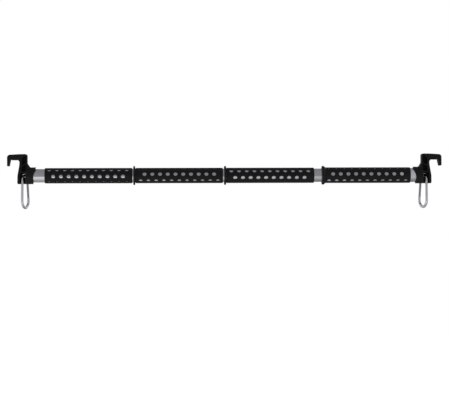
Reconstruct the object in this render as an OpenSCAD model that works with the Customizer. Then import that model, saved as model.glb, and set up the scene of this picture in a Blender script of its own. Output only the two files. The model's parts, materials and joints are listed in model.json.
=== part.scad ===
// Telescoping bed cargo bar. A hook on each end drops over a bed rail.
// +X runs along the bar from the left hook to the right hook, +Z is up.
// The origin is the middle of the left hook's rail seat.

/* [Overall] */
// Distance between the two rail seats at the rest length
seat_span = 1467; // [1460:1:1480]
// Height of the rail seats above the bar's axis
seat_h = 54.5; // [53:0.5:56]
// How far the bar shortens from its rest length
travel_in = 27; // [10:1:27]

/* [Tubes] */
// Outer diameter of the inner tube
inner_d = 47; // [46:0.1:47.4]
// Wall of the inner tube
inner_wall = 1.6; // [1.2:0.1:2]
// Wall of the outer tube
outer_wall = 1; // [0.8:0.1:1.2]
// Radial clearance between the two tubes
tube_fit = 0.1; // [0.05:0.01:0.1]

/* [Sleeves] */
// Thickness of the three sleeves on the inner tube
sleeve_t = 3.35; // [2.8:0.05:3.5]
// Thickness of the sleeve on the outer tube
outer_sleeve_t = 2.9; // [2.6:0.05:3]
// Diameter of the holes in the sleeves
hole_d = 14; // [10:0.5:15]
// Distance between holes in a row
hole_pitch = 27; // [20:0.5:27]
// Holes in the longer rows; the rows between them have one less
holes_long_row = 11; // [9:1:11]

/* [Rings and collar] */
// Diameter of the divider rings and of the lock collar's flange
ring_d = 66; // [64:0.5:68]
// Thickness of those flanges
ring_t = 6.6; // [5:0.2:6.6]

/* [Hooks] */
// Width of the hook across the bar
hook_w = 36; // [32:1:40]
// Width of the throat that takes the bed rail
throat_w = 31; // [29:0.5:32]
// Outer diameter of the socket that holds the tube
socket_d = 59; // [57:0.5:60]
// Thickness of the lug that carries the link
lug_t = 12; // [10:0.5:12]

/* [Links] */
// Diameter of the link's rod
rod_d = 9.4; // [8.8:0.1:9.4]
// Radius of the link's top bend, at the middle of the rod
top_r = 21; // [20:0.5:22]
// Radius of the link's bottom bend, at the middle of the rod
bottom_r = 26; // [24:0.5:28]
// Overall length of the link
link_l = 122.4; // [116:0.2:130]
// Turn of the link's plane away from the bar's axis
link_yaw = 69; // [69:0.5:74]
// Diameter of the gate
gate_d = 8; // [7.2:0.1:8]

/* [Hidden] */
$fn = 64;
over = 1; // how far a cut runs past a face

outer_id = inner_d + 2 * tube_fit;
outer_d = outer_id + 2 * outer_wall;
inner_id = inner_d - 2 * inner_wall;
glue = 0.05; // radial room of a bonded or screwed joint

// Hook, measured from the seat's middle and the bar's axis
tip_t = 11.6; // thickness of the hook's tip at its root
tip_z = 33; // height of the bottom of the tip
arm_z = seat_h + 1; // underside of the arm beside the pad
top_z = 75.9; // top of the arm at the post
post_x = 42.8; // face of the post that looks along the bar
post_wall = 3; // between the post's hollows and that face
post_bottom_x = 8.4; // outer edge of the post at its bottom
foot_z = -29; // bottom of the post
socket_x = 36.4; // outer end of the socket
pocket_x = 17.4; // outer side of the space around the link
floor_x = 50; // where the tube ends in the socket
lip_x = 73.5; // longest point of the socket's mouth
spigot_l = 30; // length of the spigot inside the tube
scallop_r = 84; // the mouth is cut by a cylinder across the bar
scallop_x = 61.8; // shortest point of the mouth
scallop_z = -12; // height of that point
lug_y = 8; // middle of the lug
lug_front = lug_y - lug_t / 2;
lug_back = lug_y + lug_t / 2;
pin_x = 57;
pin_d = 6;
pad_t = 3;
pad_l = 22;

// Sleeves and rings along the bar
sleeve_x = [102.8, 419.2, 737.1, 1082.4];
sleeve_end = [408.9, 725.1, 1045.3, 1384.5];
holes_off = [-2, 0.3, -1.8, -1.3]; // how far the holes' middle is from the sleeve's
sleeve_turn = [-8, 12, -21, 10.4]; // turn of the first hole row up from the front
sleeve_rows = 6;
ring_x = [411.7, 729.7];
hub_l = ring_t + 0.5; // whole length of a divider ring
hub_d = 55;
grub_d = 4;

// Lock collar, from its front face
collar_x = 1073.3;
collar_wall = 2;
collar_l = 11.4;
collar_gap = 0.3;
cone_r = [31.2, 29]; // of the cone behind the flange, at its start and end
ferrule_d = 56.8;
collet_l = 3;
mouth_x = collar_x + collar_wall + collet_l + 0.4; // mouth of the outer tube
ferrule_l = 3.3;
skirt_id = outer_d + 2 * outer_sleeve_t + 0.7;

inner_x0 = floor_x + 0.3;
outer_x1 = seat_span - floor_x - 0.3;
plug_flange = 3;
inner_x1 = seat_span - floor_x - spigot_l - travel_in - 3 - plug_flange;

// Link, in its own plane: origin at the middle of the top bend, u across, w up
link_x = 33.1;
link_z = 6 - top_r - rod_d / 2; // the top of the rod stands 6 above the bar's axis
link_hang = 3; // the link hangs this much off plumb, because its gate is the lighter leg
bend_gap = link_l - rod_d - top_r - bottom_r; // distance between the bends' middles
lean = asin((bottom_r - top_r) / bend_gap);
bend_steps = 24; // along each bend
slot_r = rod_d / 2 + 1.15; // half height of the slot in the lug
slot_z = 6.5 - slot_r;
slot_w = 16.6;
shoulder_s = 1.6; // end of the rod above the gate, along the leg
gate_pin_s = 6;
gate_pin_d = 2.4;
gate_end_s = 60;
tongue_t = 3.4;
nose_s = 60.5;
bore_d = 3.6;
plunger_d = 3.4;
slot_fit = 0.3;
plunger_s = gate_pin_s + gate_d / 2 + 0.35;
plunger_l = 5;
spring_s = plunger_s + plunger_l + 0.1;
spring_turns = 7;
spring_l = 16;
wire_d = 0.6;

// ---- helpers ----

function unit(v) = v / norm(v);

// Points of the arc that rounds the corner p1 between p0 and p2
function corner(p0, p1, p2, r, steps = 6) =
    let (
        a = unit(p0 - p1),
        b = unit(p2 - p1),
        half = acos(a * b) / 2,
        mid = p1 + unit(a + b) * r / sin(half),
        from = p1 + a * r / tan(half) - mid,
        to = p1 + b * r / tan(half) - mid,
        start = atan2(from.y, from.x),
        sweep = (atan2(to.y, to.x) - start + 540) % 360 - 180
    )
    [for (i = [0:steps]) mid + r * [cos(start + sweep * i / steps), sin(start + sweep * i / steps)]];

function xy(p) = [p.x, p.y];

// A polygon from corners [x, y, radius]
function rounded(pts) =
    let (n = len(pts))
    [for (i = [0:n - 1])
        each pts[i][2] == 0
            ? [xy(pts[i])]
            : corner(xy(pts[(i + n - 1) % n]), xy(pts[i]), xy(pts[(i + 1) % n]), pts[i][2])];

// A side profile in X and Z, extruded from y0 to y1
module across(y0, y1) {
    translate([0, y1, 0]) rotate([90, 0, 0]) linear_extrude(y1 - y0) children();
}

// A round piece along the bar, from x0 to x1
module rod_x(x0, x1, d) {
    translate([x0, 0, 0]) rotate([0, 90, 0]) cylinder(d = d, h = x1 - x0);
}

module pipe_x(x0, x1, od, id) {
    difference() {
        rod_x(x0, x1, od);
        rod_x(x0 - over, x1 + over, id);
    }
}

// A turned piece along the bar from a profile of [radius, x]
module turned_x(profile) {
    rotate([0, 90, 0]) rotate_extrude() polygon(profile);
}

// Puts a piece that is drawn about the bar's axis under the rail seats
module on_bar() {
    translate([0, 0, -seat_h]) children();
}

module on_right() {
    translate([seat_span, 0, 0]) mirror([1, 0, 0]) children();
}

// A bent wire: rings is a list of [middle, out, side] along the wire
module wire(rings, d, sides) {
    last = len(rings) - 1;
    points = [
        for (ring = rings, j = [0:sides - 1])
            let (phi = 360 * j / sides)
                ring[0] + d / 2 * (cos(phi) * ring[1] + sin(phi) * ring[2])
    ];
    walls = [
        for (i = [0:last - 1], j = [0:sides - 1])
            let (a = i * sides + j, b = i * sides + (j + 1) % sides)
                each [[a, b + sides, a + sides], [a, b, b + sides]]
    ];
    start_cap = [for (j = [sides - 1:-1:0]) j];
    end_cap = [for (j = [0:sides - 1]) last * sides + j];
    polyhedron(points, concat([start_cap, end_cap], walls));
}

// ---- hooks ----

module hook_outline() {
    polygon(rounded([
        [-throat_w / 2 - tip_t, tip_z, 3.4],
        [-throat_w / 2 - tip_t, top_z - 3, 10],
        [12, top_z - 0.6, 60],
        [post_x, top_z, 7],
        [post_x, 43, 10],
        [52, socket_d / 2, 4],
        [floor_x + 6, socket_d / 2, 0],
        [floor_x + 6, 0, 0],
        [socket_x + 8, foot_z, 6],
        [post_bottom_x, foot_z, 4],
        [post_bottom_x + 0.3, 0, 80],
        [throat_w / 2 - 0.6, 34, 60],
        [throat_w / 2 + 1.4, arm_z, 10],
        [-throat_w / 2 + 0.5, arm_z, 2.5],
        [-throat_w / 2 - 3.9, tip_z, 3.4],
    ]));
}

// Upper hollow of the post; its outer wall follows the throat
module post_pocket() {
    polygon(rounded([
        [24.5, 61, 9],
        [33, 67.5, 3],
        [post_x - post_wall, 67.5, 3],
        [post_x - post_wall, 45.5, 2.5],
        [25, 36, 2.5],
    ]));
}

// Lower hollow of the post, above the arch
module neck_pocket() {
    polygon(rounded([
        [25, 31.5, 2.5],
        [post_x - post_wall, 41, 2.5],
        [post_x - post_wall - 1, 15, 2.5],
        [22, 15, 3],
    ]));
}

// Open space around the link, closed by an arch on top
module link_pocket(x0, x1, top) {
    polygon(rounded([
        [x0, foot_z - over, 0],
        [x1, foot_z - over, 0],
        [x1, top, 7],
        [x0, top, 7],
    ]));
}

module ribbed_post() {
    front = -hook_w / 2;
    back = hook_w / 2;
    difference() {
        across(front, back) hook_outline();
        across(front - over, lug_front) {
            post_pocket();
            neck_pocket();
            link_pocket(pocket_x, floor_x, 11);
        }
        across(lug_back, back + over) {
            post_pocket();
            neck_pocket();
        }
    }
}

// Round socket with an annular groove for the tube and a spigot inside it
module socket(tube_od, tube_id) {
    r = socket_d / 2;
    difference() {
        turned_x(concat(
            [[0, socket_x]],
            corner([0, socket_x], [r, socket_x], [r, lip_x], 5),
            [[r, lip_x], [0, lip_x]]
        ));
        rod_x(floor_x, lip_x + over, tube_od + 2 * glue);
        translate([scallop_x + scallop_r, 0, scallop_z]) rotate([90, 0, 0])
            cylinder(r = scallop_r, h = 2 * socket_d, center = true, $fn = 128);
    }
    pipe_x(floor_x - over, floor_x + spigot_l, tube_id - 2 * glue, tube_id - 12);
}

module hook(tube_od, tube_id) {
    color([0.07, 0.07, 0.08]) on_bar() difference() {
        union() {
            difference() {
                ribbed_post();
                rod_x(floor_x, lip_x, socket_d - 4);
            }
            socket(tube_od, tube_id);
        }
        // slot for the link
        for (side = [-1, 1])
            translate([link_x + side * (slot_w / 2 - slot_r), lug_back + 4, slot_z])
                rotate([90, 0, 0]) cylinder(r = slot_r, h = lug_t + 4);
        translate([link_x - slot_w / 2 + slot_r, lug_front, slot_z - slot_r])
            cube([slot_w - 2 * slot_r, lug_t + 4, 2 * slot_r]);
        // room behind the lug for the link's rear leg
        across(lug_back, socket_d) link_pocket(link_x - 3.3, floor_x - 2, 7);
        // recess for the rail pad
        translate([-pad_l / 2 - slot_fit, -hook_w / 2 + 2, seat_h - over])
            cube([pad_l + 2 * slot_fit, hook_w - 4, pad_t + over]);
        translate([pin_x, 0, 0]) cylinder(d = pin_d, h = socket_d + over, center = true);
    }
}

module left_hook() {
    hook(inner_d, inner_id);
}

module right_hook() {
    on_right() hook(outer_d, outer_id);
}

// Rubber pad with shallow grooves across it
module rail_pad() {
    color([0.05, 0.05, 0.05]) difference() {
        translate([-pad_l / 2, -hook_w / 2 + 2.3, 0]) cube([pad_l, hook_w - 4.6, pad_t]);
        for (x = [-7.5:5:7.5])
            translate([x - 0.6, -hook_w / 2, -over]) cube([1.2, hook_w, over + 0.6]);
    }
}

module left_rail_pad() {
    rail_pad();
}

module right_rail_pad() {
    on_right() rail_pad();
}

module cross_pin() {
    color([0.6, 0.6, 0.62]) on_bar()
        translate([pin_x, 0, 0]) difference() {
            cylinder(d = pin_d, h = socket_d - 2.4, center = true);
            cylinder(d = pin_d - 2.4, h = socket_d, center = true);
        }
}

module left_cross_pin() {
    cross_pin();
}

module right_cross_pin() {
    on_right() cross_pin();
}

// ---- tubes ----

module inner_tube() {
    color([0.75, 0.76, 0.78]) on_bar() difference() {
        pipe_x(inner_x0, inner_x1, inner_d, inner_id);
        translate([pin_x, 0, 0]) cylinder(d = pin_d, h = socket_d, center = true);
    }
}

module outer_tube() {
    color([0.75, 0.76, 0.78]) on_bar() difference() {
        pipe_x(mouth_x, outer_x1, outer_d, outer_id);
        translate([seat_span - pin_x, 0, 0]) cylinder(d = pin_d, h = socket_d, center = true);
    }
}

module inner_end_plug() {
    color([0.1, 0.1, 0.1]) on_bar() difference() {
        union() {
            rod_x(inner_x1, inner_x1 + plug_flange, inner_d - 0.4);
            rod_x(inner_x1 - 14, inner_x1 + over, inner_id - 2 * glue);
        }
        rod_x(inner_x1 - 14 - over, inner_x1, inner_id - 6);
    }
}

// ---- sleeves ----

// Perforated sleeve with rounded ends on a tube of diameter tube_d
module sleeve(index, tube_d, wall) {
    x0 = sleeve_x[index];
    x1 = sleeve_end[index];
    bore = tube_d / 2 + glue;
    r = tube_d / 2 + wall;
    edge = wall * 0.85;
    holes_middle = (x0 + x1) / 2 + holes_off[index];
    color([0.05, 0.05, 0.06]) on_bar() difference() {
        turned_x(concat(
            [[bore, x0]],
            corner([bore, x0], [r, x0], [r, x1], edge),
            corner([r, x0], [r, x1], [bore, x1], edge),
            [[bore, x1]]
        ));
        for (row = [0:sleeve_rows - 1])
            let (count = holes_long_row - 1 + row % 2)
                rotate([-sleeve_turn[index] - row * 360 / sleeve_rows, 0, 0])
                    for (i = [0:count - 1])
                        translate([holes_middle + (i - (count - 1) / 2) * hole_pitch, 0, 0])
                            rotate([90, 0, 0])
                                translate([0, 0, bore - over]) cylinder(d = hole_d, h = wall + 2 * over);
    }
}

module sleeve_1() {
    sleeve(0, inner_d, sleeve_t);
}

module sleeve_2() {
    sleeve(1, inner_d, sleeve_t);
}

module sleeve_3() {
    sleeve(2, inner_d, sleeve_t);
}

module sleeve_4() {
    sleeve(3, outer_d, outer_sleeve_t);
}

// ---- rings ----

// Flange with rounded rims and a shallow boss on its right
module divider_ring(x0) {
    bore = inner_d / 2 + glue;
    rim = ring_d / 2;
    color([0.06, 0.06, 0.06]) on_bar() difference() {
        turned_x(concat(
            [[bore, x0]],
            corner([bore, x0], [rim, x0], [rim, x0 + ring_t], 1.5),
            corner([rim, x0], [rim, x0 + ring_t], [hub_d / 2, x0 + ring_t], 1.5),
            [[hub_d / 2, x0 + ring_t], [hub_d / 2, x0 + hub_l], [bore, x0 + hub_l]]
        ));
        translate([x0 + ring_t / 2, 0, 0]) rotate([-90, 0, 0]) cylinder(d = grub_d, h = ring_d);
    }
}

module divider_ring_1() {
    divider_ring(ring_x[0]);
}

module divider_ring_2() {
    divider_ring(ring_x[1]);
}

// One grub screw in the back of each divider ring
module ring_grub_screws() {
    color([0.3, 0.3, 0.32]) on_bar()
        for (x = ring_x)
            translate([x + ring_t / 2, 0, 0]) rotate([-90, 0, 0]) difference() {
                translate([0, 0, inner_d / 2]) cylinder(d = grub_d - 2 * glue, h = 7);
                translate([0, 0, inner_d / 2 + 5]) cylinder(d = 2.3, h = 3, $fn = 6);
            }
}

// ---- lock ----

// Quarter-turn collar: flange, cone and skirt around the ferrule
module lock_collar() {
    bore = inner_d / 2 + 0.5;
    rim = ring_d / 2;
    hollow = ferrule_d / 2 + collar_gap;
    groove_x = mouth_x + ferrule_l + collar_gap;
    color([0.06, 0.06, 0.06]) on_bar() turned_x(concat(
        [[bore, collar_x]],
        corner([bore, collar_x], [rim, collar_x], [rim, collar_x + ring_t], 1.5),
        corner([rim, collar_x], [rim, collar_x + ring_t], [rim - 2, collar_x + ring_t], 1.2),
        [
            [cone_r[0], collar_x + ring_t],
            [cone_r[1], collar_x + collar_l],
            [skirt_id / 2, collar_x + collar_l],
            [skirt_id / 2, groove_x],
            [hollow, groove_x],
            [hollow, collar_x + collar_wall],
            [bore, collar_x + collar_wall],
        ]
    ));
}

// Slit nylon ring that grips the inner tube
module lock_collet() {
    x0 = collar_x + collar_wall + 0.2;
    color([0.85, 0.85, 0.82]) on_bar() difference() {
        turned_x([
            [inner_d / 2 + tube_fit, x0],
            [inner_d / 2 + 2, x0],
            [inner_d / 2 + 3, x0 + collet_l],
            [inner_d / 2 + tube_fit, x0 + collet_l],
        ]);
        translate([x0 - over, -1.5, 0]) cube([collet_l + 2 * over, 3, ring_d]);
    }
}

module lock_ferrule() {
    color([0.55, 0.56, 0.58]) on_bar()
        pipe_x(mouth_x, mouth_x + ferrule_l, ferrule_d, outer_d + 2 * glue);
}

// ---- links ----

// Puts a link, drawn in its own plane, in the left hook's lug
module in_lug() {
    on_bar() translate([link_x, lug_y, link_z]) rotate([0, -link_hang, link_yaw]) children();
}

// Frame of the gated leg: origin at the leg's top, +Z down along the leg
module on_gate_leg() {
    translate([top_r * cos(lean), 0, top_r * sin(lean)]) rotate([0, 180 - lean, 0]) children();
}

// One ring of the link's rod at an angle round a bend
function bend_ring(mid_w, r, angle) =
    let (out = [cos(angle), 0, sin(angle)])
    [[0, 0, mid_w] + r * out, out, [0, -1, 0]];

// One ring of the link's rod at a distance down the gated leg
function leg_ring(s) =
    let (out = [cos(lean), 0, sin(lean)])
    [top_r * out + s * [sin(lean), 0, -cos(lean)], out, [0, -1, 0]];

// The rod runs from above the gate, over both bends, to below the gate
module link_body() {
    rings = concat(
        [leg_ring(shoulder_s)],
        [for (i = [0:bend_steps]) bend_ring(0, top_r, lean + (180 - 2 * lean) * i / bend_steps)],
        [
            for (i = [0:bend_steps])
                bend_ring(-bend_gap, bottom_r, 180 - lean + (180 + 2 * lean) * i / bend_steps)
        ],
        [leg_ring(nose_s)]
    );
    color([0.8, 0.81, 0.83]) in_lug() difference() {
        union() {
            wire(rings, rod_d, 24);
            on_gate_leg() {
                translate([-gate_d / 2 + 0.1, -tongue_t / 2, shoulder_s - over])
                    cube([gate_d - 0.2, tongue_t, gate_pin_s - shoulder_s + over]);
                translate([0, 0, gate_pin_s]) rotate([90, 0, 0])
                    cylinder(d = gate_d - 0.2, h = tongue_t, center = true);
                translate([-2.6, -1.2, nose_s - 4.5]) cube([5.2, 2.4, 4.5 + over]);
            }
        }
        on_gate_leg() translate([0, 0, gate_pin_s]) rotate([90, 0, 0])
            cylinder(d = gate_pin_d + 0.1, h = rod_d, center = true);
    }
}

// Gate rod with a fork on the pin and a slot that slips over the nose
module link_gate() {
    color([0.72, 0.73, 0.75]) in_lug() on_gate_leg() difference() {
        union() {
            translate([0, 0, gate_pin_s]) cylinder(d = gate_d, h = gate_end_s - gate_pin_s);
            translate([0, 0, gate_pin_s]) rotate([90, 0, 0])
                cylinder(d = gate_d, h = gate_d - 0.6, center = true);
        }
        translate([-gate_d, -tongue_t / 2 - slot_fit, gate_pin_s - gate_d])
            cube([2 * gate_d, tongue_t + 2 * slot_fit, gate_d * 1.5 + slot_fit]);
        translate([-gate_d, -1.5, gate_end_s - 4.6]) cube([2 * gate_d, 3, 6]);
        cylinder(d = bore_d, h = spring_s + spring_l + 0.4);
        translate([0, 0, gate_pin_s]) rotate([90, 0, 0])
            cylinder(d = gate_pin_d + 0.1, h = 2 * gate_d, center = true);
    }
}

module gate_pin() {
    color([0.6, 0.6, 0.62]) in_lug() on_gate_leg() translate([0, 0, gate_pin_s]) rotate([90, 0, 0])
        cylinder(d = gate_pin_d, h = gate_d, center = true);
}

module gate_plunger() {
    color([0.6, 0.6, 0.62]) in_lug() on_gate_leg() translate([0, 0, plunger_s]) {
        cylinder(d = plunger_d, h = plunger_l * 0.6);
        cylinder(d = plunger_d - 1.6, h = plunger_l);
    }
}

// Compression spring in the gate's bore
module gate_spring() {
    steps = 12; // in one turn
    mean_r = plunger_d / 2 - wire_d / 2;
    rise = (spring_l - wire_d) / spring_turns;
    rings = [
        for (i = [0:spring_turns * steps])
            let (turn = i / steps, out = [cos(360 * turn), sin(360 * turn), 0])
                [mean_r * out + [0, 0, rise * turn], out, [0, 0, 1]]
    ];
    color([0.5, 0.5, 0.52]) in_lug() on_gate_leg() translate([0, 0, spring_s + wire_d / 2])
        wire(rings, wire_d, 6);
}

module left_link_body() {
    link_body();
}

module left_link_gate() {
    link_gate();
}

module left_gate_pin() {
    gate_pin();
}

module left_gate_spring() {
    gate_spring();
}

module left_gate_plunger() {
    gate_plunger();
}

module right_link_body() {
    on_right() link_body();
}

module right_link_gate() {
    on_right() link_gate();
}

module right_gate_pin() {
    on_right() gate_pin();
}

module right_gate_spring() {
    on_right() gate_spring();
}

module right_gate_plunger() {
    on_right() gate_plunger();
}

left_hook();
right_hook();
left_rail_pad();
right_rail_pad();
left_cross_pin();
right_cross_pin();
inner_tube();
outer_tube();
inner_end_plug();
sleeve_1();
sleeve_2();
sleeve_3();
sleeve_4();
divider_ring_1();
divider_ring_2();
ring_grub_screws();
lock_collar();
lock_collet();
lock_ferrule();
left_link_body();
left_link_gate();
left_gate_pin();
left_gate_spring();
left_gate_plunger();
right_link_body();
right_link_gate();
right_gate_pin();
right_gate_spring();
right_gate_plunger();
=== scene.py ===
"""Looks of the bed cargo bar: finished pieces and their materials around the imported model.

Metres, in the model's frame: +X along the bar to the right hook, +Z up, the front faces -Y.
"""

import json
import math

import bmesh
import bpy
from mathutils import Matrix, Vector


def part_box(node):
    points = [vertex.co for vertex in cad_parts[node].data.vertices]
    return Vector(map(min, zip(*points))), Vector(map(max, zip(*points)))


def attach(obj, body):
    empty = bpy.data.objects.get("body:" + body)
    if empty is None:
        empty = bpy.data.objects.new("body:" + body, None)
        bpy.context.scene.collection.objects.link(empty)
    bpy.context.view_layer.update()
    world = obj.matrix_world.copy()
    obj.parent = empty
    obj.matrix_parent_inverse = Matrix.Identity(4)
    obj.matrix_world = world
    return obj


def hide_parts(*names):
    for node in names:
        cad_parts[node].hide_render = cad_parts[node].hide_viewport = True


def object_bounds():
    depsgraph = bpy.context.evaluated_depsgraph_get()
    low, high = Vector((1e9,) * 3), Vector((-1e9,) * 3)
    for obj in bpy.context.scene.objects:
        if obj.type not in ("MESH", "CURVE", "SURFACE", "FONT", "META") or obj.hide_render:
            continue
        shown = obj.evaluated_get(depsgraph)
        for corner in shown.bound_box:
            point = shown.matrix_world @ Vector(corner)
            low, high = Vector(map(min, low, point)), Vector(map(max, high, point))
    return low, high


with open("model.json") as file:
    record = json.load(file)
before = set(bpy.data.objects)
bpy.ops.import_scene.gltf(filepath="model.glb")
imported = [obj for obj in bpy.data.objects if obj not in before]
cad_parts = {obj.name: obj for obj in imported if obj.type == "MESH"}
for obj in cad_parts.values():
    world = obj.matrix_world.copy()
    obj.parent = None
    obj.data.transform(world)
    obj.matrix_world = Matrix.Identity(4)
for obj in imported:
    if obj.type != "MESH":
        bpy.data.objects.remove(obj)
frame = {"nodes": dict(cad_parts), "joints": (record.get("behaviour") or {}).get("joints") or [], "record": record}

CAD_BOX = [list(corner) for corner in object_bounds()]

MM = 0.001
BAR_Z = (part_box("lock_collar")[0].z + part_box("lock_collar")[1].z) / 2
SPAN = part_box("left_hook")[0].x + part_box("right_hook")[1].x
GLUE = 0.05 * MM  # radial room of a bonded or screwed joint

# Camera
VIEW_DISTANCE = 6.5
VIEW_WIDTH = 1.578  # what the frame spans at the bar
VIEW_DROP = 0.0862  # camera below the bar's axis
VIEW_RIGHT = -0.0008  # middle of the frame right of the bar's middle
VIEW_TURN = math.radians(2.4)  # how far round to the left the camera stands
VIEW_ROLL = math.radians(-0.15)

# Sleeves
HOLE_R = 7 * MM
HOLE_PITCH = 27 * MM
HOLES_LONG_ROW = 11
ROWS = 6
CELL_STEPS = 8  # steps along each side of the cell around a hole
RIM = 0.6 * MM  # rounding of a hole's edge
SLEEVE_END = 2.8 * MM  # length of the rounded end past the cells
# Degrees that each sleeve's first row stands above the front, and how far right of its middle its holes sit
SLEEVE_TURN = {"sleeve_1": -8, "sleeve_2": 12, "sleeve_3": -21, "sleeve_4": 10.4}
HOLES_OFF = {"sleeve_1": -2 * MM, "sleeve_2": 0.3 * MM, "sleeve_3": -1.8 * MM, "sleeve_4": -1.3 * MM}

# Tubes, rings and collar
INNER_WALL = 1.6 * MM
OUTER_WALL = 1.0 * MM
FLANGE = 6.6 * MM
BOSS_R = 27.5 * MM
GRUB_R = 1.95 * MM
CONE_R = (31.2 * MM, 29 * MM)  # of the collar behind its flange, at the start and end
ROUND = 128  # sides of the large turned pieces

# Hooks
HOOK_VOXEL = 0.6 * MM  # grain at which the hooks' edges are rounded over

# Links, in their own plane: origin at the middle of the top bend, X across, Z up
ROD_D = 9.4 * MM
TOP_R = 21 * MM
BOTTOM_R = 26 * MM
LINK_L = 122.4 * MM
LINK_HANG = math.radians(3)
GATE_D = 8 * MM
GATE_PIN_D = 2.4 * MM
GATE_PIN_S = 6 * MM
GATE_END_S = 60 * MM
SHOULDER_S = 1.6 * MM
NOSE_S = 60.5 * MM
TONGUE_T = 3.4 * MM
BEND_GAP = LINK_L - ROD_D - TOP_R - BOTTOM_R
LEAN = math.asin((BOTTOM_R - TOP_R) / BEND_GAP)
BORE_R = 1.8 * MM
DOME = 0.35 * MM  # rounding of the gate pin's ends
PLUNGER_R = 1.7 * MM
PLUNGER_L = 5 * MM
SPRING_TURNS = 7
SPRING_L = 16 * MM
WIRE_R = 0.3 * MM


# ---- mesh helpers ----

def mesh_from(verts, faces):
    """A clean mesh with its faces turned outwards."""
    work = bmesh.new()
    made = [work.verts.new(v) for v in verts]
    for face in faces:
        work.faces.new([made[i] for i in face])
    bmesh.ops.remove_doubles(work, verts=work.verts, dist=0.005 * MM)
    bmesh.ops.dissolve_degenerate(work, edges=work.edges, dist=0.002 * MM)
    bmesh.ops.recalc_face_normals(work, faces=work.faces)
    mesh = bpy.data.meshes.new("work")
    work.to_mesh(mesh)
    work.free()
    return mesh


def arc_corner(before, at, after, radius, steps):
    """Points that round the corner at a point between two others."""
    before, at, after = Vector(before), Vector(at), Vector(after)
    a = (before - at).normalized()
    b = (after - at).normalized()
    half = a.angle(b) / 2
    middle = at + (a + b).normalized() * radius / math.sin(half)
    start = at + a * radius / math.tan(half) - middle
    end = at + b * radius / math.tan(half) - middle
    sweep = start.angle_signed(end)
    return [middle + Matrix.Rotation(-sweep * i / steps, 2) @ start for i in range(steps + 1)]


def rounded(points, steps=5):
    """A closed outline from (x, y, radius) corners."""
    outline = []
    for i, (x, y, radius) in enumerate(points):
        if radius == 0:
            outline.append(Vector((x, y)))
        else:
            before = points[i - 1][:2]
            after = points[(i + 1) % len(points)][:2]
            outline += arc_corner(before, (x, y), after, radius, steps)
    return outline


def lathe(outline, segments=96, arc=(0.0, 2 * math.pi), reach=None):
    """Turns a closed (radius, z) outline about Z. reach(radius, angle) may change the radius."""
    start, end = arc
    closed = end - start > 2 * math.pi - 1e-6
    stations = segments if closed else segments + 1
    verts = []
    for i in range(stations):
        angle = start + (end - start) * i / segments
        for radius, z in outline:
            r = reach(radius, angle) if reach else radius
            verts.append((r * math.cos(angle), r * math.sin(angle), z))
    count = len(outline)
    faces = []
    for i in range(segments):
        j = (i + 1) % stations
        for k in range(count):
            m = (k + 1) % count
            faces.append((i * count + k, j * count + k, j * count + m, i * count + m))
    if not closed:
        faces.append(tuple(range(count)))
        faces.append(tuple((stations - 1) * count + k for k in reversed(range(count))))
    return mesh_from(verts, faces)


def prism(outline, depth):
    """An outline in X and Y, extruded from z = 0 to depth."""
    count = len(outline)
    verts = [(p[0], p[1], z) for z in (0, depth) for p in outline]
    faces = [(i, (i + 1) % count, count + (i + 1) % count, count + i) for i in range(count)]
    faces += [tuple(range(count)), tuple(range(count, 2 * count))]
    return mesh_from(verts, faces)


def block(low, high):
    """A box between two corners."""
    corners = [(low[0], low[1]), (high[0], low[1]), (high[0], high[1]), (low[0], high[1])]
    mesh = prism(corners, high[2] - low[2])
    mesh.transform(Matrix.Translation((0, 0, low[2])))
    return mesh


def rod(radius, z0, z1, chamfer=0.0, segments=48):
    """A round bar along Z with chamfered ends."""
    outline = [(0, z0), (radius - chamfer, z0), (radius, z0 + chamfer)]
    outline += [(radius, z1 - chamfer), (radius - chamfer, z1), (0, z1)]
    return lathe(outline, segments)


def sweep(rings, radius, sides):
    """A round wire through rings of (middle, out, side), with rounded-over ends."""
    stations = [(middle, out, side, radius) for middle, out, side in rings]
    edge = radius * 0.12
    first = stations[0]
    last = stations[-1]
    inward = (stations[1][0] - first[0]).normalized()
    outward = (last[0] - stations[-2][0]).normalized()
    stations[0] = (first[0] + inward * edge, first[1], first[2], radius)
    stations[-1] = (last[0] - outward * edge, last[1], last[2], radius)
    stations.insert(0, (first[0], first[1], first[2], radius - edge))
    stations.append((last[0], last[1], last[2], radius - edge))
    verts = []
    for middle, out, side, r in stations:
        for j in range(sides):
            phi = 2 * math.pi * j / sides
            verts.append(middle + r * (math.cos(phi) * out + math.sin(phi) * side))
    faces = []
    for i in range(len(stations) - 1):
        for j in range(sides):
            k = (j + 1) % sides
            faces.append((i * sides + j, i * sides + k, (i + 1) * sides + k, (i + 1) * sides + j))
    faces.append(tuple(range(sides)))
    faces.append(tuple(range(len(verts) - sides, len(verts))))
    return mesh_from(verts, faces)


def baked(target):
    """The mesh of an object with its modifiers applied."""
    graph = bpy.context.evaluated_depsgraph_get()
    return bpy.data.meshes.new_from_object(target.evaluated_get(graph))


def combine(base, *steps):
    """Joins or cuts closed meshes: each step is ("UNION" or "DIFFERENCE", mesh)."""
    scene = bpy.context.scene
    target = bpy.data.objects.new("target", base)
    scene.collection.objects.link(target)
    tools = []
    for operation, mesh in steps:
        tool = bpy.data.objects.new("tool", mesh)
        scene.collection.objects.link(tool)
        tools.append(tool)
        modifier = target.modifiers.new(operation, "BOOLEAN")
        modifier.operation = operation
        modifier.solver = "EXACT"
        modifier.object = tool
    result = baked(target)
    for made in [target, *tools]:
        bpy.data.objects.remove(made)
    return result


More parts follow.
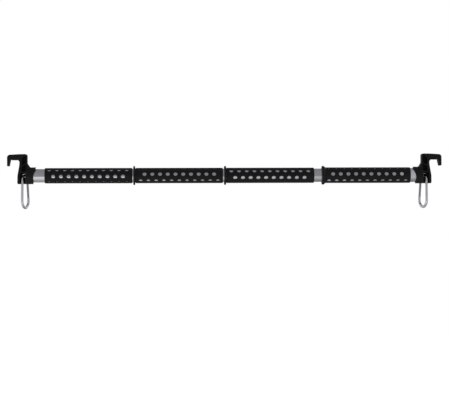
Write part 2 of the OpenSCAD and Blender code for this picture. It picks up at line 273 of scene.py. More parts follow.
def softened(source, voxel, passes):
    """A closed mesh with every edge rounded over, from a mesh with sharp edges."""
    scene = bpy.context.scene
    target = bpy.data.objects.new("target", source.copy())
    scene.collection.objects.link(target)
    remesh = target.modifiers.new("remesh", "REMESH")
    remesh.mode = "VOXEL"
    remesh.voxel_size = voxel
    smooth = target.modifiers.new("smooth", "SMOOTH")
    smooth.factor = 0.5
    smooth.iterations = passes
    result = baked(target)
    bpy.data.objects.remove(target)
    return result


def bevelled(mesh, width, segments=2, angle=math.radians(30)):
    """Rounds the sharp edges of a mesh."""
    work = bmesh.new()
    work.from_mesh(mesh)
    sharp = [e for e in work.edges if e.is_manifold and e.calc_face_angle() > angle]
    bmesh.ops.bevel(work, geom=sharp, offset=width, segments=segments, profile=0.5, affect="EDGES")
    work.to_mesh(mesh)
    work.free()
    return mesh


def placed(mesh, matrix):
    """The mesh moved by a matrix, with its faces still turned outwards after a mirroring."""
    mesh.transform(matrix)
    if matrix.determinant() < 0:
        mesh.flip_normals()
    return mesh


Z_TO_X = Matrix(((0, 0, 1, 0), (0, -1, 0, 0), (1, 0, 0, 0), (0, 0, 0, 1)))
ALONG_BAR = Matrix.Translation((0, 0, BAR_Z)) @ Z_TO_X
Z_TO_BACK = Matrix.Rotation(math.radians(-90), 4, "X")
Z_TO_FRONT = Matrix.Rotation(math.radians(90), 4, "X")
MIRROR = Matrix.Translation((SPAN, 0, 0)) @ Matrix.Diagonal((-1, 1, 1, 1))
SIDES = {"left": Matrix.Identity(4), "right": MIRROR}


def radius_of(node):
    """Outer radius of a node that is round about the bar's axis."""
    return BAR_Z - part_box(node)[0].z


def body_of(node):
    groups = frame["record"]["behaviour"]["bodies"]
    return next(body for body, nodes in groups.items() if node in nodes)


def slot_of(node):
    return next(row["material_slot"] for row in frame["record"]["subparts"] if row["node"] == node)


def show(node, mesh, smooth_angle=40):
    """Puts a finished mesh in the scene in place of a CAD node, on the node's body and slot."""
    name = node + "_piece"
    mesh.name = name
    mesh.materials.clear()
    mesh.materials.append(MATERIALS[slot_of(node)])
    mesh.shade_smooth()
    mesh.set_sharp_from_angle(angle=math.radians(smooth_angle))
    piece = bpy.data.objects.new(name, mesh)
    bpy.context.scene.collection.objects.link(piece)
    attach(piece, body_of(node))
    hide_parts(node)
    return piece


# ---- materials ----

def add_node(tree, kind, inputs=None, **settings):
    """A shader node with its settings and its inputs, which are values or other nodes' outputs."""
    made = tree.nodes.new(kind)
    for key, value in settings.items():
        setattr(made, key, value)
    for key, value in (inputs or {}).items():
        if isinstance(value, bpy.types.NodeSocket):
            tree.links.new(value, made.inputs[key])
        else:
            made.inputs[key].default_value = value
    return made


def new_material(name, **constants):
    """A material with a Principled shader. constants go straight on the shader's sockets."""
    made = bpy.data.materials.new(name)
    made.use_nodes = True
    shader = made.node_tree.nodes["Principled BSDF"]
    for key, value in constants.items():
        shader.inputs[key.replace("_", " ")].default_value = value
    return made, made.node_tree, shader


def noise(tree, scale, stretch=(1, 1, 1), detail=4, rough=0.5, warp=0.0):
    """Noise in the piece's own space; scale is in cycles to a metre."""
    coords = add_node(tree, "ShaderNodeTexCoord")
    stretched = add_node(tree, "ShaderNodeMapping", {"Vector": coords.outputs["Object"], "Scale": stretch})
    made = add_node(tree, "ShaderNodeTexNoise", {
        "Vector": stretched.outputs["Vector"], "Scale": scale, "Detail": detail,
        "Roughness": rough, "Distortion": warp,
    })
    return made.outputs["Fac"]


def remap(tree, value, low, high, start=0.3, end=0.7):
    """Carries a value between start and end to one between low and high."""
    made = add_node(tree, "ShaderNodeMapRange", {
        "Value": value, "From Min": start, "From Max": end, "To Min": low, "To Max": high,
    })
    return made.outputs["Result"]


def blend_colours(tree, factor, first, second):
    made = add_node(tree, "ShaderNodeMix", data_type="RGBA")
    for key, value in (("Factor", factor), ("A", first), ("B", second)):
        socket = next(s for s in made.inputs if s.name == key and s.enabled)
        if isinstance(value, bpy.types.NodeSocket):
            tree.links.new(value, socket)
        elif key == "Factor":
            socket.default_value = value
        else:
            socket.default_value = (*value, 1)
    return next(s for s in made.outputs if s.enabled)


def bump(tree, height, distance, strength=1.0, below=None):
    inputs = {"Height": height, "Distance": distance, "Strength": strength}
    if below is not None:
        inputs["Normal"] = below
    return add_node(tree, "ShaderNodeBump", inputs).outputs["Normal"]


def edge_wear(tree, start, end):
    """How far a point lies on a worn outer edge, broken up by noise."""
    geometry = add_node(tree, "ShaderNodeNewGeometry")
    edge = remap(tree, geometry.outputs["Pointiness"], 0, 1, start, end)
    broken = remap(tree, noise(tree, 160, detail=6), 0, 1, 0.42, 0.66)
    return add_node(tree, "ShaderNodeMath", {0: edge, 1: broken}, operation="MULTIPLY").outputs[0]


def moulded_plastic(name, dark, light, grain, rough=(0.42, 0.56), wear=0.6, worn=(0.028, 0.028, 0.03)):
    """Textured mouldings: fine eroded grain, slow colour variation and rubbed edges."""
    made, tree, shader = new_material(name, IOR=1.5, Specular_IOR_Level=0.25)
    clouds = noise(tree, 35, detail=5, warp=0.4)
    base = blend_colours(tree, remap(tree, clouds, 0, 1), dark, light)
    rubbed = edge_wear(tree, 0.53, 0.53 + 0.1 / wear)
    tree.links.new(blend_colours(tree, rubbed, base, worn), shader.inputs["Base Color"])
    tree.links.new(remap(tree, noise(tree, 260, detail=3), *rough), shader.inputs["Roughness"])
    coarse = bump(tree, noise(tree, 90, detail=2), 0.00015, 0.35)
    fine = bump(tree, noise(tree, grain, detail=2), 0.00006, 0.8, coarse)
    tree.links.new(fine, shader.inputs["Normal"])
    return made


def sleeve_rubber(name):
    """Smooth moulded rubber with a low sheen, faint flow lines and dull patches from handling."""
    made, tree, shader = new_material(name, IOR=1.5, Specular_IOR_Level=0.25)
    clouds = noise(tree, 22, (1, 2, 2), detail=6, warp=0.6)
    base = blend_colours(tree, remap(tree, clouds, 0, 1), (0.0022, 0.0022, 0.0032), (0.0048, 0.0048, 0.006))
    dust = remap(tree, noise(tree, 900, detail=3, rough=0.7), 0, 0.35, 0.6, 0.75)
    tree.links.new(blend_colours(tree, dust, base, (0.016, 0.016, 0.017)), shader.inputs["Base Color"])
    tree.links.new(remap(tree, noise(tree, 60, (1, 3, 3), detail=5), 0.44, 0.6), shader.inputs["Roughness"])
    flow = bump(tree, noise(tree, 260, (0.25, 1, 1), detail=2), 0.00008, 0.5)
    fine = bump(tree, noise(tree, 2600, detail=2), 0.00003, 0.7, flow)
    tree.links.new(fine, shader.inputs["Normal"])
    return made


def pad_rubber(name):
    made, tree, shader = new_material(name, IOR=1.5, Specular_IOR_Level=0.3)
    clouds = noise(tree, 120, detail=6)
    base = blend_colours(tree, remap(tree, clouds, 0, 1), (0.018, 0.018, 0.018), (0.036, 0.035, 0.034))
    tree.links.new(base, shader.inputs["Base Color"])
    tree.links.new(remap(tree, noise(tree, 400), 0.72, 0.9), shader.inputs["Roughness"])
    tree.links.new(bump(tree, noise(tree, 1800, detail=3), 0.00008, 0.8), shader.inputs["Normal"])
    return made


def satin_aluminium(name):
    """Anodised tube: die lines along the length, soft clouding and a few long rubbing marks."""
    made, tree, shader = new_material(name, Metallic=1.0)
    lines = noise(tree, 700, (0.004, 1, 1), detail=5, rough=0.65)
    clouds = noise(tree, 14, (1, 3, 3), detail=5, warp=0.5)
    base = blend_colours(tree, remap(tree, lines, 0, 1), (0.60, 0.61, 0.63), (0.68, 0.69, 0.705))
    tint = blend_colours(tree, remap(tree, clouds, 0, 0.6), base, (0.62, 0.635, 0.66))
    tree.links.new(tint, shader.inputs["Base Color"])
    rubbed = remap(tree, noise(tree, 120, (0.06, 1, 1), detail=4), 0.0, 0.1, 0.58, 0.7)
    satin = remap(tree, clouds, 0.17, 0.23)
    total = add_node(tree, "ShaderNodeMath", {0: satin, 1: rubbed}, operation="ADD")
    tree.links.new(total.outputs[0], shader.inputs["Roughness"])
    tree.links.new(bump(tree, lines, 0.00003, 0.5), shader.inputs["Normal"])
    return made


def bright_plate(name, dark, light, rough):
    """Chromed steel: slight cloudiness in the plating and hairline scratches."""
    made, tree, shader = new_material(name, Metallic=1.0)
    clouds = noise(tree, 90, detail=5, warp=0.3)
    scratches = remap(tree, noise(tree, 1500, (1, 1, 0.03), detail=2), 0, 1, 0.62, 0.72)
    base = blend_colours(tree, remap(tree, clouds, 0, 1), dark, light)
    tree.links.new(base, shader.inputs["Base Color"])
    plated = remap(tree, clouds, *rough)
    marked = add_node(tree, "ShaderNodeMath", {0: scratches, 1: 0.12}, operation="MULTIPLY")
    total = add_node(tree, "ShaderNodeMath", {0: plated, 1: marked.outputs[0]}, operation="ADD")
    tree.links.new(total.outputs[0], shader.inputs["Roughness"])
    ripple = bump(tree, noise(tree, 220, detail=2), 0.00004, 0.3)
    tree.links.new(bump(tree, scratches, 0.000008, 0.6, ripple), shader.inputs["Normal"])
    return made


def dull_steel(name, dark, light, scale=400):
    """Zinc plated or drawn steel with a mottled, grainy surface."""
    made, tree, shader = new_material(name, Metallic=1.0)
    mottle = noise(tree, scale, detail=6, rough=0.6, warp=0.5)
    tree.links.new(blend_colours(tree, remap(tree, mottle, 0, 1), dark, light), shader.inputs["Base Color"])
    tree.links.new(remap(tree, mottle, 0.28, 0.48), shader.inputs["Roughness"])
    tree.links.new(bump(tree, noise(tree, 5 * scale, detail=3), 0.00002, 0.6), shader.inputs["Normal"])
    return made


def natural_nylon(name):
    made, tree, shader = new_material(name, IOR=1.53, Subsurface_Weight=0.15, Subsurface_Scale=0.002)
    clouds = noise(tree, 150, detail=5)
    base = blend_colours(tree, remap(tree, clouds, 0, 1), (0.66, 0.64, 0.57), (0.76, 0.74, 0.68))
    tree.links.new(base, shader.inputs["Base Color"])
    tree.links.new(remap(tree, clouds, 0.38, 0.5), shader.inputs["Roughness"])
    tree.links.new(bump(tree, noise(tree, 1200), 0.00003, 0.6), shader.inputs["Normal"])
    return made


HOOK_BLACK = (0.0022, 0.0022, 0.0028)
RING_BLACK = (0.003, 0.003, 0.0036)
SOFT_BLACK = (0.0055, 0.0055, 0.0064)
PLUG_GREY = (0.02, 0.02, 0.021)
SOFT_GREY = (0.032, 0.032, 0.034)

MATERIALS = {
    "hook_moulding": moulded_plastic("hook_moulding", HOOK_BLACK, SOFT_BLACK, 2200),
    "ring_plastic": moulded_plastic("ring_plastic", RING_BLACK, SOFT_BLACK, 2800, (0.38, 0.5)),
    "collar_plastic": moulded_plastic("collar_plastic", RING_BLACK, SOFT_BLACK, 2400, (0.4, 0.52)),
    "plug_plastic": moulded_plastic("plug_plastic", PLUG_GREY, SOFT_GREY, 2000, (0.45, 0.6)),
    "sleeve_rubber": sleeve_rubber("sleeve_rubber"),
    "pad_rubber": pad_rubber("pad_rubber"),
    "tube_aluminium": satin_aluminium("tube_aluminium"),
    "link_chrome": bright_plate("link_chrome", (0.62, 0.63, 0.65), (0.7, 0.71, 0.73), (0.12, 0.2)),
    # The gate uses the link's chrome with a much darker base colour. This is painted shade on the gate's leg, not
    # a different plating.
    "gate_chrome": bright_plate("gate_chrome", (0.27, 0.275, 0.285), (0.34, 0.345, 0.36), (0.14, 0.22)),
    "pin_steel": dull_steel("pin_steel", (0.42, 0.42, 0.43), (0.56, 0.56, 0.57)),
    "spring_steel": dull_steel("spring_steel", (0.36, 0.36, 0.38), (0.5, 0.5, 0.52), 900),
    "collet_nylon": natural_nylon("collet_nylon"),
}


# ---- sleeves ----

def around(x, radius, angle):
    """A point round the bar; the angle starts at the front and turns up."""
    return Vector((x, -radius * math.cos(angle), BAR_Z + radius * math.sin(angle)))


def cell_edge(left, right, half_turn):
    """The loop round one cell as (dx, turn) steps, counted from the middle of its right side."""

    def across(t):
        return t * (right if t > 0 else left)

    half = CELL_STEPS // 2
    loop = []
    for k in range(4 * CELL_STEPS):
        side, step = divmod(k + half, CELL_STEPS)
        t = step / half - 1
        dx, turn = [(right, t), (across(-t), 1), (-left, -t), (across(t), -1)][side % 4]
        loop.append((dx, turn * half_turn))
    return loop


def sleeve_rings(x, turn, left, right, outer, bore):
    """Loops of points from a cell's outer edge, over the hole's rim and down its wall, to the inner edge."""
    half_turn = math.pi / ROWS
    edge = cell_edge(left, right, half_turn)
    count = len(edge)

    def circle(r, radius):
        loop = []
        for k in range(count):
            phi = 2 * math.pi * k / count
            loop.append((r * math.cos(phi), math.asin(r * math.sin(phi) / radius)))
        return loop

    def between(first, second, t, radius):
        return [around(x + a[0] + (b[0] - a[0]) * t, radius, turn + a[1] + (b[1] - a[1]) * t)
                for a, b in zip(first, second)]

    rings = []
    wide = circle(HOLE_R + RIM, outer)
    for t in (0, 1 / 3, 2 / 3):
        rings.append(between(edge, wide, t, outer))
    for step in range(4):
        s = step * math.pi / 6
        depth = RIM * (1 - math.cos(s))
        loop = circle(HOLE_R + RIM * (1 - math.sin(s)), outer - depth)
        rings.append(between(loop, loop, 0, outer - depth))
    narrow = circle(HOLE_R, bore)
    for t in (0, 1 / 2, 1):
        rings.append(between(narrow, edge, t, bore))
    return rings


def sleeve_mesh(node, bore):
    """Perforated sleeve: one cell of clean rings for each hole, plain strips and rounded ends."""
    low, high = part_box(node)
    middle = (low.x + high.x) / 2
    half_length = (high.x - low.x) / 2
    outer = radius_of(node)
    reach = half_length - SLEEVE_END
    holes_middle = middle + HOLES_OFF[node]
    short_row = (HOLES_LONG_ROW - 1) / 2 * HOLE_PITCH
    end_cell = {side: reach - short_row - side * HOLES_OFF[node] for side in (-1, 1)}
    first_turn = math.radians(SLEEVE_TURN[node])
    row_turn = 2 * math.pi / ROWS
    verts, faces = [], []

    def add_rings(rings):
        count = len(rings[0])
        start = len(verts)
        for ring in rings:
            verts.extend(ring)
        for i in range(len(rings) - 1):
            for k in range(count):
                a = start + i * count + k
                b = start + i * count + (k + 1) % count
                faces.append((a, b, b + count, a + count))

    def add_grid(points):
        start = len(verts)
        width = len(points[0])
        for line in points:
            verts.extend(line)
        for i in range(len(points) - 1):
            for k in range(width - 1):
                a = start + i * width + k
                faces.append((a, a + 1, a + width + 1, a + width))

    def end_strip(side, turn, radius):
        """The plain stretch between a short row's last hole and the sleeve's rounded end."""
        half = CELL_STEPS // 2
        lines = []
        for i in range(half + 1):
            x = holes_middle + side * (short_row + end_cell[side] * i / half)
            lines.append([
                around(x, radius, turn + (2 * k / CELL_STEPS - 1) * row_turn / 2)
                for k in range(CELL_STEPS + 1)
            ])
        return lines

    for row in range(ROWS):
        turn = first_turn + row * row_turn
        count = HOLES_LONG_ROW - 1 + row % 2
        for i in range(count):
            x = holes_middle + (i - (count - 1) / 2) * HOLE_PITCH
            left = end_cell[-1] if row % 2 and i == 0 else HOLE_PITCH / 2
            right = end_cell[1] if row % 2 and i == count - 1 else HOLE_PITCH / 2
            add_rings(sleeve_rings(x, turn, left, right, outer, bore))
        if row % 2 == 0:
            for side in (-1, 1):
                for radius in (outer, bore):
                    add_grid(end_strip(side, turn, radius))
    wall = outer - bore
    edge = wall * 0.85
    profile = [(reach, outer)]
    profile += arc_corner((reach, outer), (half_length, outer), (half_length, bore), edge, 6)
    profile += [(half_length, bore), (reach, bore)]
    stations = ROWS * CELL_STEPS
    for side in (-1, 1):
        loops = []
        for dx, radius in profile:
            loops.append([
                around(middle + side * dx, radius, first_turn + (k / CELL_STEPS - 0.5) * row_turn)
                for k in range(stations)
            ])
        add_rings(loops)
    return mesh_from(verts, faces)


def make_sleeves():
    for node in SLEEVE_TURN:
        tube = "outer_tube" if node == "sleeve_4" else "inner_tube"
        show(node, sleeve_mesh(node, radius_of(tube) + GLUE))


# ---- tubes and turned pieces ----

def make_tube(node, wall):
    """Drawn tube with chamfered ends and the hole for its cross pin."""
    low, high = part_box(node)
    outer = radius_of(node)
    inner = outer - wall
    bevel = 0.3 * MM
    outline = rounded([
        (inner, low.x, bevel), (outer, low.x, bevel), (outer, high.x, bevel), (inner, high.x, bevel),
    ], 2)
    side = "left" if body_of(node) == "left_half" else "right"
    pin_low, pin_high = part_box(side + "_cross_pin")
    pin = (pin_low + pin_high) / 2
    hole = rod((pin_high.x - pin_low.x) / 2 + GLUE, pin_low.z, pin_high.z)
    hole.transform(Matrix.Translation((pin.x, 0, 0)))
    tube = placed(lathe(outline, ROUND), ALONG_BAR)
    show(node, combine(tube, ("DIFFERENCE", hole)))


def make_divider_ring(node):
    """Flange with rounded rims, a shallow boss and a grub screw hole with a countersink."""
    low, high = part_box(node)
    rim = (high.z - low.z) / 2
    bore = radius_of("inner_tube") + GLUE
    outline = rounded([
        (bore, low.x, 0.4 * MM),
        (rim, low.x, 1.5 * MM),
        (rim, low.x + FLANGE, 1.5 * MM),
        (BOSS_R, low.x + FLANGE, 0.2 * MM),
        (BOSS_R, high.x, 0.2 * MM),
        (bore, high.x, 0.2 * MM),
    ])
    ring = placed(lathe(outline, ROUND), ALONG_BAR)
    screw_r = 2 * MM
    cutter = lathe([
        (0, bore - 2 * MM), (screw_r, bore - 2 * MM), (screw_r, rim - 0.7 * MM),
        (screw_r + 1.2 * MM, rim + 0.5 * MM), (0, rim + 0.5 * MM),
    ], 48)
    to_back = Matrix.Translation((low.x + FLANGE / 2, 0, BAR_Z)) @ Z_TO_BACK
    show(node, combine(ring, ("DIFFERENCE", placed(cutter, to_back))))


def make_grub_screws():
    """Cup screws with a hexagon recess, one in each divider ring."""
    low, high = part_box("ring_grub_screws")
    corners = [math.pi / 3 * k for k in range(6)]
    key_r = 1.15 * MM
    meshes = []
    for x in (low.x + GRUB_R, high.x - GRUB_R):
        body = rod(GRUB_R, low.y, high.y, 0.35 * MM, 32)
        recess = prism([(key_r * math.cos(a), key_r * math.sin(a)) for a in corners], 3 * MM)
        recess.transform(Matrix.Translation((0, 0, high.y - 2 * MM)))
        screw = combine(body, ("DIFFERENCE", recess))
        meshes.append(placed(screw, Matrix.Translation((x, 0, BAR_Z)) @ Z_TO_BACK))
    work = bmesh.new()
    for mesh in meshes:
        work.from_mesh(mesh)
    work.to_mesh(meshes[0])
    work.free()
    show("ring_grub_screws", meshes[0], 30)


def make_collar():
    """Quarter-turn collar with shallow finger flutes round its flange."""
    low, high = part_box("lock_collar")
    rim = (high.z - low.z) / 2
    bore = radius_of("inner_tube") + 0.5 * MM
    ferrule = radius_of("lock_ferrule") + 0.3 * MM
    groove_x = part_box("lock_ferrule")[1].x + 0.3 * MM
    skirt = radius_of("sleeve_4") + 0.35 * MM
    wall = 2 * MM
    flutes = 20
    flute_depth = 0.7 * MM
    flute_reach = 2.2 * MM  # how far in from the rim a flute is felt
    outline = rounded([
        (bore, low.x, 0.4 * MM),
        (rim, low.x, 1.5 * MM),
        (rim, low.x + FLANGE, 0.7 * MM),
        (CONE_R[0], low.x + FLANGE, 0.6 * MM),
        (CONE_R[1], high.x, 0.45 * MM),
        (skirt, high.x, 0.3 * MM),
        (skirt, groove_x, 0),
        (ferrule, groove_x, 0),
        (ferrule, low.x + wall, 0),
        (bore, low.x + wall, 0.3 * MM),
    ])

    def fluted(radius, angle):
        share = max(0.0, min(1.0, (radius - (rim - flute_reach)) / flute_reach))
        dip = max(0.0, math.cos(flutes * angle)) ** 2
        return radius - flute_depth * dip * share

    show("lock_collar", placed(lathe(outline, 16 * flutes, reach=fluted), ALONG_BAR))


def make_lock_inside():
    """Steel ferrule on the outer tube's mouth and the slit nylon collet in front of it."""
    low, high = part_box("lock_ferrule")
    bevel = 0.35 * MM
    inner = radius_of("outer_tube") + GLUE
    outer = radius_of("lock_ferrule")
    outline = rounded([
        (inner, low.x, bevel), (outer, low.x, bevel), (outer, high.x, bevel), (inner, high.x, bevel),
    ], 3)
    show("lock_ferrule", placed(lathe(outline, ROUND), ALONG_BAR))
    low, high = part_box("lock_collet")
    inner = radius_of("inner_tube") + 0.1 * MM
    outer = radius_of("lock_collet")
    outline = rounded([
        (inner, low.x, bevel), (outer - 1 * MM, low.x, bevel), (outer, high.x, bevel), (inner, high.x, bevel),
    ], 3)
    half_slit = math.asin(1.5 * MM / outer)
    top = math.pi  # the lathe's X is down once it lies along the bar
    arc = (top + half_slit, top + 2 * math.pi - half_slit)
    show("lock_collet", placed(lathe(outline, 90, arc), ALONG_BAR))


def make_end_plug():
    """Glide plug in the end of the inner tube, with a hollow back and a rounded flange."""
    low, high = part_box("inner_end_plug")
    flange = radius_of("inner_end_plug")
    face = high.x - 3 * MM  # where the flange meets the tube's end
    inside = radius_of("inner_tube") - INNER_WALL - GLUE
    bore = inside - 2.9 * MM
    outline = rounded([
        (0, high.x, 0),
        (0, face, 0),
        (bore, face, 0.8 * MM),
        (bore, low.x, 0.4 * MM),
        (inside, low.x, 0.8 * MM),
        (inside, face, 0),
        (flange, face, 0.3 * MM),
        (flange, high.x, 1.2 * MM),
    ])
    show("inner_end_plug", placed(lathe(outline, ROUND), ALONG_BAR))


# ---- hooks ----

def make_hook(side):
    """Moulded hook: the CAD shape with every edge rounded over as a moulding's are."""
    node = side + "_hook"
    show(node, softened(frame["nodes"][node].data, HOOK_VOXEL, 4), 60)


def make_rail_pad(side):
    """Grooved rubber pad with soft edges."""
    low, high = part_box(side + "_rail_pad")
    width = high.x - low.x
    grooves = 4
    pitch = 5 * MM
    half = 0.6 * MM  # half a groove's width, and its depth
    outline = [(low.x, high.z), (low.x, low.z)]
    for i in range(grooves):
        x = low.x + width / 2 + (i - (grooves - 1) / 2) * pitch
        outline += [(x - half, low.z), (x - half, low.z + half), (x + half, low.z + half), (x + half, low.z)]
    outline += [(high.x, low.z), (high.x, high.z)]
    pad = bevelled(prism(outline, high.y - low.y), 0.22 * MM)
    upright = Matrix(((1, 0, 0, 0), (0, 0, -1, high.y), (0, 1, 0, 0), (0, 0, 0, 1)))
    show(side + "_rail_pad", placed(pad, upright))


def make_cross_pin(side):
    """Rolled spring pin: a slit tube with chamfered ends."""
    low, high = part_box(side + "_cross_pin")
    radius = (high.x - low.x) / 2
    inner = radius - 1.2 * MM
    chamfer = 0.5 * MM
    outline = [
        (inner, low.z), (radius - chamfer, low.z), (radius, low.z + chamfer * 1.6),
        (radius, high.z - chamfer * 1.6), (radius - chamfer, high.z), (inner, high.z),
    ]
    slit = math.radians(12)
    pin = lathe(outline, 48, (slit, 2 * math.pi - slit))
    pin.transform(Matrix.Translation(((low.x + high.x) / 2, 0, 0)))
    show(side + "_cross_pin", pin)


# ---- links ----

LEG_TOP = Matrix.Translation((TOP_R * math.cos(LEAN), 0, TOP_R * math.sin(LEAN)))
DOWN_LEG = LEG_TOP @ Matrix.Rotation(math.pi - LEAN, 4, "Y")
AT_GATE_PIN = Matrix.Translation((0, 0, GATE_PIN_S)) @ Z_TO_FRONT


def link_place(side):
    """Carries a link drawn in its own plane to the hook's lug."""
    swing = next(j for j in frame["joints"] if j["name"] == "left_link_swing")
    normal = Vector(swing["axis"])
    across = normal.cross(Vector((0, 0, 1)))
    turn = Matrix((across, normal, (0, 0, 1))).transposed().to_4x4()
    return SIDES[side] @ Matrix.Translation(swing["pos_m"]) @ turn @ Matrix.Rotation(-LINK_HANG, 4, "Y")


def gate_place(side):
    """Carries a piece drawn down the gated leg, with Z down from the leg's top."""
    return link_place(side) @ DOWN_LEG


def link_rod():
    """Rings of the link's rod from above the gate, over both bends, to below the gate."""
    side = Vector((0, -1, 0))
    steps = 36

    def bend(middle_z, radius, angle):
        out = Vector((math.cos(angle), 0, math.sin(angle)))
        return Vector((0, 0, middle_z)) + radius * out, out, side

    def leg(s):
        out = Vector((math.cos(LEAN), 0, math.sin(LEAN)))
        return TOP_R * out + s * Vector((math.sin(LEAN), 0, -math.cos(LEAN))), out, side

    top_sweep = math.pi - 2 * LEAN
    bottom_sweep = math.pi + 2 * LEAN
    rings = [leg(SHOULDER_S)]
    rings += [bend(0, TOP_R, LEAN + top_sweep * i / steps) for i in range(steps + 1)]
    rings += [bend(-BEND_GAP, BOTTOM_R, math.pi - LEAN + bottom_sweep * i / steps) for i in range(steps + 1)]
    rings.append(leg(NOSE_S))
    return rings


def make_link_body(side):
    """Bent rod with the tongue that carries the gate and the nose that the gate closes on."""
    slim = GATE_D / 2 - 0.1 * MM
    bar = sweep(link_rod(), ROD_D / 2, 40)
    neck = block((-slim, -TONGUE_T / 2, SHOULDER_S - 1 * MM), (slim, TONGUE_T / 2, GATE_PIN_S))
    eye = placed(rod(slim, -TONGUE_T / 2, TONGUE_T / 2, 0.2 * MM), AT_GATE_PIN)
    nose_low = (-2.6 * MM, -1.2 * MM, NOSE_S - 4.5 * MM)
    nose_high = (2.6 * MM, 1.2 * MM, NOSE_S + 1 * MM)
    nose = bevelled(block(nose_low, nose_high), 0.3 * MM)
    hole = placed(rod(GATE_PIN_D / 2 + GLUE, -ROD_D, ROD_D), AT_GATE_PIN)
    made = combine(
        bar,
        ("UNION", placed(neck, DOWN_LEG)),
        ("UNION", placed(eye, DOWN_LEG)),
        ("UNION", placed(nose, DOWN_LEG)),
        ("DIFFERENCE", placed(hole, DOWN_LEG)),
    )
    show(side + "_link_body", placed(made, link_place(side)))


def make_link_gate(side):
    """Gate rod: forked and pinned at the top, slotted over the nose, bored for its spring."""
    room = 0.3 * MM
    stem = rod(GATE_D / 2, GATE_PIN_S, GATE_END_S, 0.5 * MM, 64)
    knuckle = placed(rod(GATE_D / 2, -GATE_D / 2 + room, GATE_D / 2 - room, 0.25 * MM, 64), AT_GATE_PIN)
    fork_gap = TONGUE_T / 2 + room
    fork_end = GATE_PIN_S + GATE_D / 2 + room
    fork = block((-GATE_D, -fork_gap, GATE_PIN_S - GATE_D), (GATE_D, fork_gap, fork_end))
    slot = block((-GATE_D, -1.5 * MM, GATE_END_S - 4.6 * MM), (GATE_D, 1.5 * MM, GATE_END_S + 2 * MM))
    made = combine(
        stem,
        ("UNION", knuckle),
        ("DIFFERENCE", fork),
        ("DIFFERENCE", slot),
        ("DIFFERENCE", rod(BORE_R, 0, spring_start() + SPRING_L + 0.4 * MM)),
        ("DIFFERENCE", placed(rod(GATE_PIN_D / 2 + GLUE, -GATE_D, GATE_D), AT_GATE_PIN)),
    )
    show(side + "_link_gate", placed(made, gate_place(side)))


def plunger_start():
    return GATE_PIN_S + GATE_D / 2 + 0.35 * MM


def spring_start():
    return plunger_start() + PLUNGER_L + 0.1 * MM


def make_gate_pin(side):
    """Rivet with domed ends, across the top of the gate."""
    half = GATE_D / 2
    flat = GATE_PIN_D / 2 - DOME
    turns = (0, 0.5, 1.0, math.pi / 2)
    outline = [(0, -half)]
    outline += [(flat + DOME * math.sin(a), -half + DOME - DOME * math.cos(a)) for a in turns]
    outline += [(flat + DOME * math.cos(a), half - DOME + DOME * math.sin(a)) for a in turns]
    outline += [(0, half)]
    show(side + "_gate_pin", placed(lathe(outline, 40), gate_place(side) @ AT_GATE_PIN))


def make_gate_plunger(side):
    """Stepped plunger that the spring presses against the tongue."""
    start = plunger_start()
    end = start + PLUNGER_L
    step = start + PLUNGER_L * 0.6
    tail = PLUNGER_R - 0.8 * MM
    outline = rounded([
        (0, start, 0),
        (PLUNGER_R, start, 0.5 * MM),
        (PLUNGER_R, step, 0.2 * MM),
        (tail, step, 0.15 * MM),
        (tail, end, 0.3 * MM),
        (0, end, 0),
    ])
    show(side + "_gate_plunger", placed(lathe(outline, 40), gate_place(side)))


def make_gate_spring(side):
    """Compression spring in the gate's bore."""
    steps = 24
    mean = PLUNGER_R - WIRE_R
    rise = (SPRING_L - 2 * WIRE_R) / SPRING_TURNS
    rings = []
    for i in range(SPRING_TURNS * steps + 1):
        turn = i / steps
        out = Vector((math.cos(2 * math.pi * turn), math.sin(2 * math.pi * turn), 0))
        middle = mean * out + Vector((0, 0, spring_start() + WIRE_R + rise * turn))
        rings.append((middle, out, Vector((0, 0, 1))))
    show(side + "_gate_spring", placed(sweep(rings, WIRE_R, 10), gate_place(side)))


# ---- studio ----

def make_camera():
    """A level camera in front of the bar, a little below its axis and round to its left."""
    low, high = Vector(CAD_BOX[0]), Vector(CAD_BOX[1])
    data = bpy.data.cameras.new("camera")
    data.sensor_width = 36
    data.lens = data.sensor_width * VIEW_DISTANCE / VIEW_WIDTH
    camera = bpy.data.objects.new("camera", data)
    target = Matrix.Translation(((low.x + high.x) / 2 + VIEW_RIGHT, 0, BAR_Z - VIEW_DROP))
    aim = Matrix.Rotation(-VIEW_TURN, 4, "Z") @ Z_TO_FRONT
    back = Matrix.Translation((0, 0, VIEW_DISTANCE))
    camera.matrix_world = target @ aim @ back @ Matrix.Rotation(VIEW_ROLL, 4, "Z")
    bpy.context.scene.collection.objects.link(camera)
    bpy.context.scene.camera = camera


def make_floor():
    """A pale floor well below the bar."""
    drop = 1.1
    size = 14
    thick = 0.02
    mesh = block((-size / 2, -size / 2, -thick), (size / 2, size / 2, 0))
    floor = bpy.data.objects.new("floor", mesh)
    floor.location = (SPAN / 2, 0, BAR_Z - drop)
    bpy.context.scene.collection.objects.link(floor)
    made, tree, shader = new_material("floor_white", Roughness=0.9)
    shade = remap(tree, noise(tree, 3, detail=2), 0.96, 1.0)
    tone = blend_colours(tree, shade, (0.9, 0.9, 0.9), (1, 1, 1))
    tree.links.new(tone, shader.inputs["Base Color"])
    shader.inputs["Emission Color"].default_value = (1, 1, 1, 1)
    shader.inputs["Emission Strength"].default_value = 1.0
    mesh.materials.append(made)
    for ray in ("visible_diffuse", "visible_glossy", "visible_transmission", "visible_shadow"):
        setattr(floor, ray, False)


CEILING = (0.29, 0.29, 0.3)
SIDE_WALLS = (0.68, 0.68, 0.69)


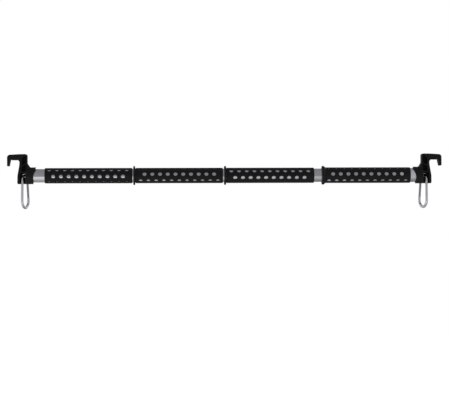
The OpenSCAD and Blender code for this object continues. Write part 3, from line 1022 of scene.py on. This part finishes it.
def make_light():
    """A white room to the camera, with soft light: a grey ceiling, pale side walls and a bright floor."""
    world = bpy.data.worlds.new("studio")
    bpy.context.scene.world = world
    world.use_nodes = True
    tree = world.node_tree
    tree.nodes.clear()
    coords = add_node(tree, "ShaderNodeTexCoord")
    parts = add_node(tree, "ShaderNodeSeparateXYZ", {"Vector": coords.outputs["Generated"]})
    # The ceiling's middle lies a little to the left of straight up.
    to_left = 0.05
    shifted = add_node(tree, "ShaderNodeMath", {0: parts.outputs["X"], 1: to_left}, operation="ADD")
    sideways = add_node(tree, "ShaderNodeMath", {0: shifted.outputs[0]}, operation="ABSOLUTE")
    walls = remap(tree, sideways.outputs[0], 0, 1, 0.36, 0.56)
    above = blend_colours(tree, walls, CEILING, SIDE_WALLS)
    # The floor is brightest in front and to the left, and fades to the back and to the right.
    depth = remap(tree, parts.outputs["Y"], 1.0, 0.45, -0.75, 0.1)
    fading = remap(tree, parts.outputs["X"], 1.0, 0.62, -0.1, 0.04)
    below = add_node(tree, "ShaderNodeMath", {0: depth, 1: fading}, operation="MULTIPLY").outputs[0]
    floor = add_node(tree, "ShaderNodeCombineColor", {"Red": below, "Green": below, "Blue": below})
    split = remap(tree, parts.outputs["Z"], 0, 1, -0.27, -0.37)
    room = blend_colours(tree, split, above, floor.outputs["Color"])
    path = add_node(tree, "ShaderNodeLightPath")
    seen = blend_colours(tree, path.outputs["Is Camera Ray"], room, (1, 1, 1))
    light = add_node(tree, "ShaderNodeBackground", {"Color": seen, "Strength": 1.0})
    add_node(tree, "ShaderNodeOutputWorld", {"Surface": light.outputs["Background"]})


bpy.context.scene.view_settings.view_transform = "Standard"
make_camera()
make_light()
make_floor()
make_sleeves()
make_tube("inner_tube", INNER_WALL)
make_tube("outer_tube", OUTER_WALL)
make_divider_ring("divider_ring_1")
make_divider_ring("divider_ring_2")
make_grub_screws()
make_collar()
make_lock_inside()
make_end_plug()
for side in SIDES:
    make_hook(side)
    make_rail_pad(side)
    make_cross_pin(side)
    make_link_body(side)
    make_link_gate(side)
    make_gate_pin(side)
    make_gate_plunger(side)
    make_gate_spring(side)
